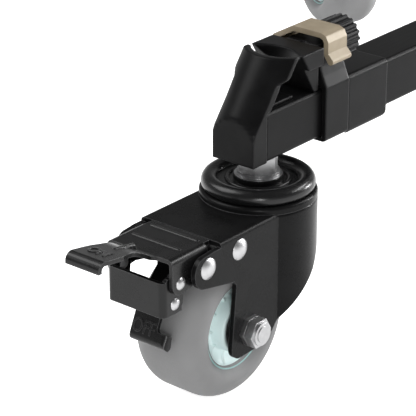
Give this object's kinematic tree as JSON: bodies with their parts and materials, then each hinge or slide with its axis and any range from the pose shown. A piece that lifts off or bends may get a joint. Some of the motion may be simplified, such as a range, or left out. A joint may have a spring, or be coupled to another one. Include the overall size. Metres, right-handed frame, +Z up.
{
  "type": "tripod dolly",
  "caption": "Folding three-arm dolly for a tripod, with a screw and lever clamp for each tripod foot and a foot-braked swivel caster under each arm.",
  "frame": {"origin": "on the floor under the middle of the box that the dolly fits in, with the arms spread and the casters pointing outward", "axes": "+Z up; +X along arm 1, from the hub outward; +Y across it, towards arm 2"},
  "size_m": [0.6134, 0.7084, 0.1614],
  "materials": {
    "tube": "satin black anodised aluminium",
    "plastic": "matte black moulded plastic",
    "zinc": "zinc plated",
    "bronze": "satin bronze",
    "knob": "ribbed black plastic",
    "fork_paint": "semi-gloss black",
    "pedal_paint": "semi-gloss black",
    "hub_paint": "satin black",
    "tyre": "matte grey",
    "core": "pale teal plastic",
    "bearing": "ground steel"
  },
  "bodies": {
    "hub": {"hub_top_plate": "hub_paint", "hub_bottom_plate": "hub_paint", "hub_bolts": "zinc", "arm_tube_1": "tube", "arm_root_block_1": "plastic", "foot_tower_1": "plastic", "caster_stem_1": "zinc", "swivel_balls_1": "zinc"},
    "arm_2": {"arm_tube_2": "tube", "arm_root_block_2": "plastic", "foot_tower_2": "plastic", "caster_stem_2": "zinc", "swivel_balls_2": "zinc"},
    "arm_3": {"arm_tube_3": "tube", "arm_root_block_3": "plastic", "foot_tower_3": "plastic", "caster_stem_3": "zinc", "swivel_balls_3": "zinc"},
    "carriage_1": {"clamp_carriage_1": "plastic"},
    "lever_1": {"clamp_lever_1": "bronze"},
    "knob_1": {"clamp_knob_1": "knob"},
    "jaw_1": {"foot_jaw_1": "plastic"},
    "fork_1": {"fork_1": "fork_paint", "axle_bolt_1": "zinc", "fork_rivets_1": "zinc"},
    "wheel_1": {"tyre_1": "tyre", "wheel_core_1": "core", "wheel_bearings_1": "bearing"},
    "pedal_1": {"lock_pedal_1": "pedal_paint"},
    "link_1": {"link_bracket_1": "pedal_paint", "brake_rivets_1": "zinc"},
    "brake_arm_1": {"brake_arm_1": "pedal_paint"},
    "carriage_2": {"clamp_carriage_2": "plastic"},
    "lever_2": {"clamp_lever_2": "bronze"},
    "knob_2": {"clamp_knob_2": "knob"},
    "jaw_2": {"foot_jaw_2": "plastic"},
    "fork_2": {"fork_2": "fork_paint", "axle_bolt_2": "zinc", "fork_rivets_2": "zinc"},
    "wheel_2": {"tyre_2": "tyre", "wheel_core_2": "core", "wheel_bearings_2": "bearing"},
    "pedal_2": {"lock_pedal_2": "pedal_paint"},
    "link_2": {"link_bracket_2": "pedal_paint", "brake_rivets_2": "zinc"},
    "brake_arm_2": {"brake_arm_2": "pedal_paint"},
    "carriage_3": {"clamp_carriage_3": "plastic"},
    "lever_3": {"clamp_lever_3": "bronze"},
    "knob_3": {"clamp_knob_3": "knob"},
    "jaw_3": {"foot_jaw_3": "plastic"},
    "fork_3": {"fork_3": "fork_paint", "axle_bolt_3": "zinc", "fork_rivets_3": "zinc"},
    "wheel_3": {"tyre_3": "tyre", "wheel_core_3": "core", "wheel_bearings_3": "bearing"},
    "pedal_3": {"lock_pedal_3": "pedal_paint"},
    "link_3": {"link_bracket_3": "pedal_paint", "brake_rivets_3": "zinc"},
    "brake_arm_3": {"brake_arm_3": "pedal_paint"}
  },
  "joints": [
    {"name": "carriage_1_slide", "type": "slide", "parent": "hub", "child": "carriage_1", "axis": [1, 0, 0], "range_m": [-0.1, 0]},
    {"name": "lever_1_open", "type": "hinge", "parent": "carriage_1", "child": "lever_1", "pos_m": [0.14198, -0.0155, 0.1495], "axis": [1, 0, 0], "range_deg": [0, 95]},
    {"name": "knob_1_turn", "type": "hinge", "parent": "carriage_1", "child": "knob_1", "pos_m": [0.12448, 0, 0.1505], "axis": [1, 0, 0], "range_deg": [-576, 576]},
    {"name": "jaw_1_slide", "type": "slide", "parent": "carriage_1", "child": "jaw_1", "axis": [1, 0, 0], "range_m": [-0.002, 0.002]},
    {"name": "caster_1_swivel", "type": "hinge", "parent": "hub", "child": "fork_1", "pos_m": [0.18348, 0, 0.089], "axis": [0, 0, 1], "continuous": true},
    {"name": "wheel_1_roll", "type": "hinge", "parent": "fork_1", "child": "wheel_1", "pos_m": [0.21968, 0, 0.0375], "axis": [0, 1, 0], "continuous": true},
    {"name": "pedal_1_press", "type": "hinge", "parent": "fork_1", "child": "pedal_1", "pos_m": [0.24958, 0, 0.0797], "axis": [0, 1, 0], "range_deg": [0, 6.8]},
    {"name": "link_1_turn", "type": "hinge", "parent": "pedal_1", "child": "link_1", "pos_m": [0.26348, 0, 0.0762], "axis": [0, 1, 0], "range_deg": [-5.85, 0.05]},
    {"name": "brake_arm_1_turn", "type": "hinge", "parent": "fork_1", "child": "brake_arm_1", "pos_m": [0.22708, 0, 0.0812], "axis": [0, 1, 0], "range_deg": [-0.05, 2.57]},
    {"name": "arm_2_fold", "type": "hinge", "parent": "hub", "child": "arm_2", "pos_m": [-0.12952, 0.05716, 0.1219], "axis": [0, 0, -1], "range_deg": [0, 120]},
    {"name": "carriage_2_slide", "type": "slide", "parent": "arm_2", "child": "carriage_2", "axis": [-0.5, 0.866, 0], "range_m": [-0.1, 0]},
    {"name": "lever_2_open", "type": "hinge", "parent": "carriage_2", "child": "lever_2", "pos_m": [-0.20235, 0.2143, 0.1495], "axis": [-0.5, 0.866, 0], "range_deg": [0, 95]},
    {"name": "knob_2_turn", "type": "hinge", "parent": "carriage_2", "child": "knob_2", "pos_m": [-0.20702, 0.19139, 0.1505], "axis": [-0.5, 0.866, 0], "range_deg": [-576, 576]},
    {"name": "jaw_2_slide", "type": "slide", "parent": "carriage_2", "child": "jaw_2", "axis": [-0.5, 0.866, 0], "range_m": [-0.002, 0.002]},
    {"name": "caster_2_swivel", "type": "hinge", "parent": "arm_2", "child": "fork_2", "pos_m": [-0.23652, 0.24249, 0.089], "axis": [0, 0, 1], "continuous": true},
    {"name": "wheel_2_roll", "type": "hinge", "parent": "fork_2", "child": "wheel_2", "pos_m": [-0.25462, 0.27384, 0.0375], "axis": [-0.866, -0.5, 0], "continuous": true},
    {"name": "pedal_2_press", "type": "hinge", "parent": "fork_2", "child": "pedal_2", "pos_m": [-0.26957, 0.29973, 0.0797], "axis": [-0.866, -0.5, 0], "range_deg": [0, 6.8]},
    {"name": "link_2_turn", "type": "hinge", "parent": "pedal_2", "child": "link_2", "pos_m": [-0.27652, 0.31177, 0.0762], "axis": [-0.866, -0.5, 0], "range_deg": [-5.85, 0.05]},
    {"name": "brake_arm_2_turn", "type": "hinge", "parent": "fork_2", "child": "brake_arm_2", "pos_m": [-0.25832, 0.28025, 0.0812], "axis": [-0.866, -0.5, 0], "range_deg": [-0.05, 2.57]},
    {"name": "arm_3_fold", "type": "hinge", "parent": "hub", "child": "arm_3", "pos_m": [-0.12952, -0.05716, 0.1219], "axis": [0, 0, 1], "range_deg": [0, 120]},
    {"name": "carriage_3_slide", "type": "slide", "parent": "arm_3", "child": "carriage_3", "axis": [-0.5, -0.866, 0], "range_m": [-0.1, 0]},
    {"name": "lever_3_open", "type": "hinge", "parent": "carriage_3", "child": "lever_3", "pos_m": [-0.2292, -0.1988, 0.1495], "axis": [-0.5, -0.866, 0], "range_deg": [0, 95]},
    {"name": "knob_3_turn", "type": "hinge", "parent": "carriage_3", "child": "knob_3", "pos_m": [-0.20702, -0.19139, 0.1505], "axis": [-0.5, -0.866, 0], "range_deg": [-576, 576]},
    {"name": "jaw_3_slide", "type": "slide", "parent": "carriage_3", "child": "jaw_3", "axis": [-0.5, -0.866, 0], "range_m": [-0.002, 0.002]},
    {"name": "caster_3_swivel", "type": "hinge", "parent": "arm_3", "child": "fork_3", "pos_m": [-0.23652, -0.24249, 0.089], "axis": [0, 0, 1], "continuous": true},
    {"name": "wheel_3_roll", "type": "hinge", "parent": "fork_3", "child": "wheel_3", "pos_m": [-0.25462, -0.27384, 0.0375], "axis": [0.866, -0.5, 0], "continuous": true},
    {"name": "pedal_3_press", "type": "hinge", "parent": "fork_3", "child": "pedal_3", "pos_m": [-0.26957, -0.29973, 0.0797], "axis": [0.866, -0.5, 0], "range_deg": [0, 6.8]},
    {"name": "link_3_turn", "type": "hinge", "parent": "pedal_3", "child": "link_3", "pos_m": [-0.27652, -0.31177, 0.0762], "axis": [0.866, -0.5, 0], "range_deg": [-5.85, 0.05]},
    {"name": "brake_arm_3_turn", "type": "hinge", "parent": "fork_3", "child": "brake_arm_3", "pos_m": [-0.25832, -0.28025, 0.0812], "axis": [0.866, -0.5, 0], "range_deg": [-0.05, 2.57]}
  ],
  "couplings": [
    {"joint": "jaw_1_slide", "follows": "knob_1_turn", "m_per_rad": 0.00019894},
    {"joint": "link_1_turn", "follows": "pedal_1_press", "ratio": -0.851},
    {"joint": "brake_arm_1_turn", "follows": "pedal_1_press", "ratio": 0.371},
    {"joint": "jaw_2_slide", "follows": "knob_2_turn", "m_per_rad": 0.00019894},
    {"joint": "link_2_turn", "follows": "pedal_2_press", "ratio": -0.851},
    {"joint": "brake_arm_2_turn", "follows": "pedal_2_press", "ratio": 0.371},
    {"joint": "jaw_3_slide", "follows": "knob_3_turn", "m_per_rad": 0.00019894},
    {"joint": "link_3_turn", "follows": "pedal_3_press", "ratio": -0.851},
    {"joint": "brake_arm_3_turn", "follows": "pedal_3_press", "ratio": 0.371}
  ]
}
